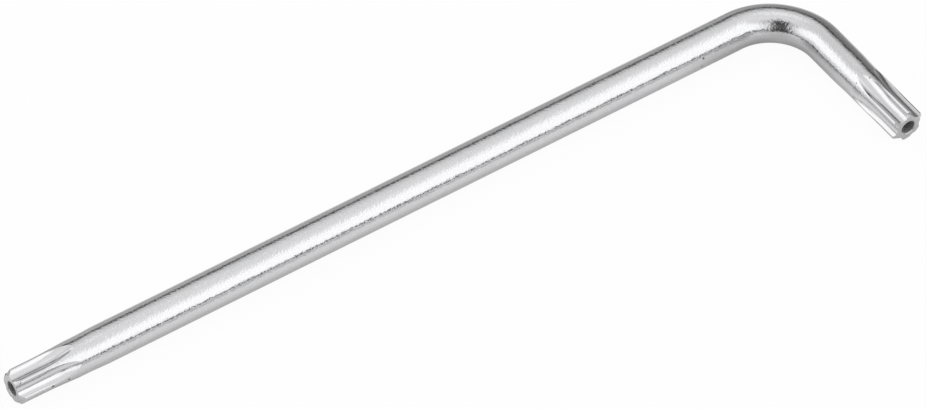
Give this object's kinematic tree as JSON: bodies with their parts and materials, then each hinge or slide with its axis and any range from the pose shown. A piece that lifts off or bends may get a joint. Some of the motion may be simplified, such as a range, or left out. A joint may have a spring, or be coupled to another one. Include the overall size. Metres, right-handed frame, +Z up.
{
  "type": "star key",
  "caption": "L-shaped star key: a round plated steel bar bent at a right angle, with a drilled star drive on each end for turning tamper-resistant star screws.",
  "frame": {"origin": "under the middle of the key's box, on the surface that the flat-lying key rests on", "axes": "+X along the long arm from its star to the bend, -Y along the short arm from the bend to its star, +Z up, square to the plane of the L"},
  "size_m": [0.166, 0.04, 0.007],
  "materials": {
    "shank": "satin plated steel with a fine blasted grain",
    "star": "brighter plated steel with fine lines along the flutes"
  },
  "bodies": {
    "root": {"long_star_tip": "star", "long_arm": "shank", "bend": "shank", "short_arm": "shank", "short_star_tip": "star"}
  },
  "joints": []
}
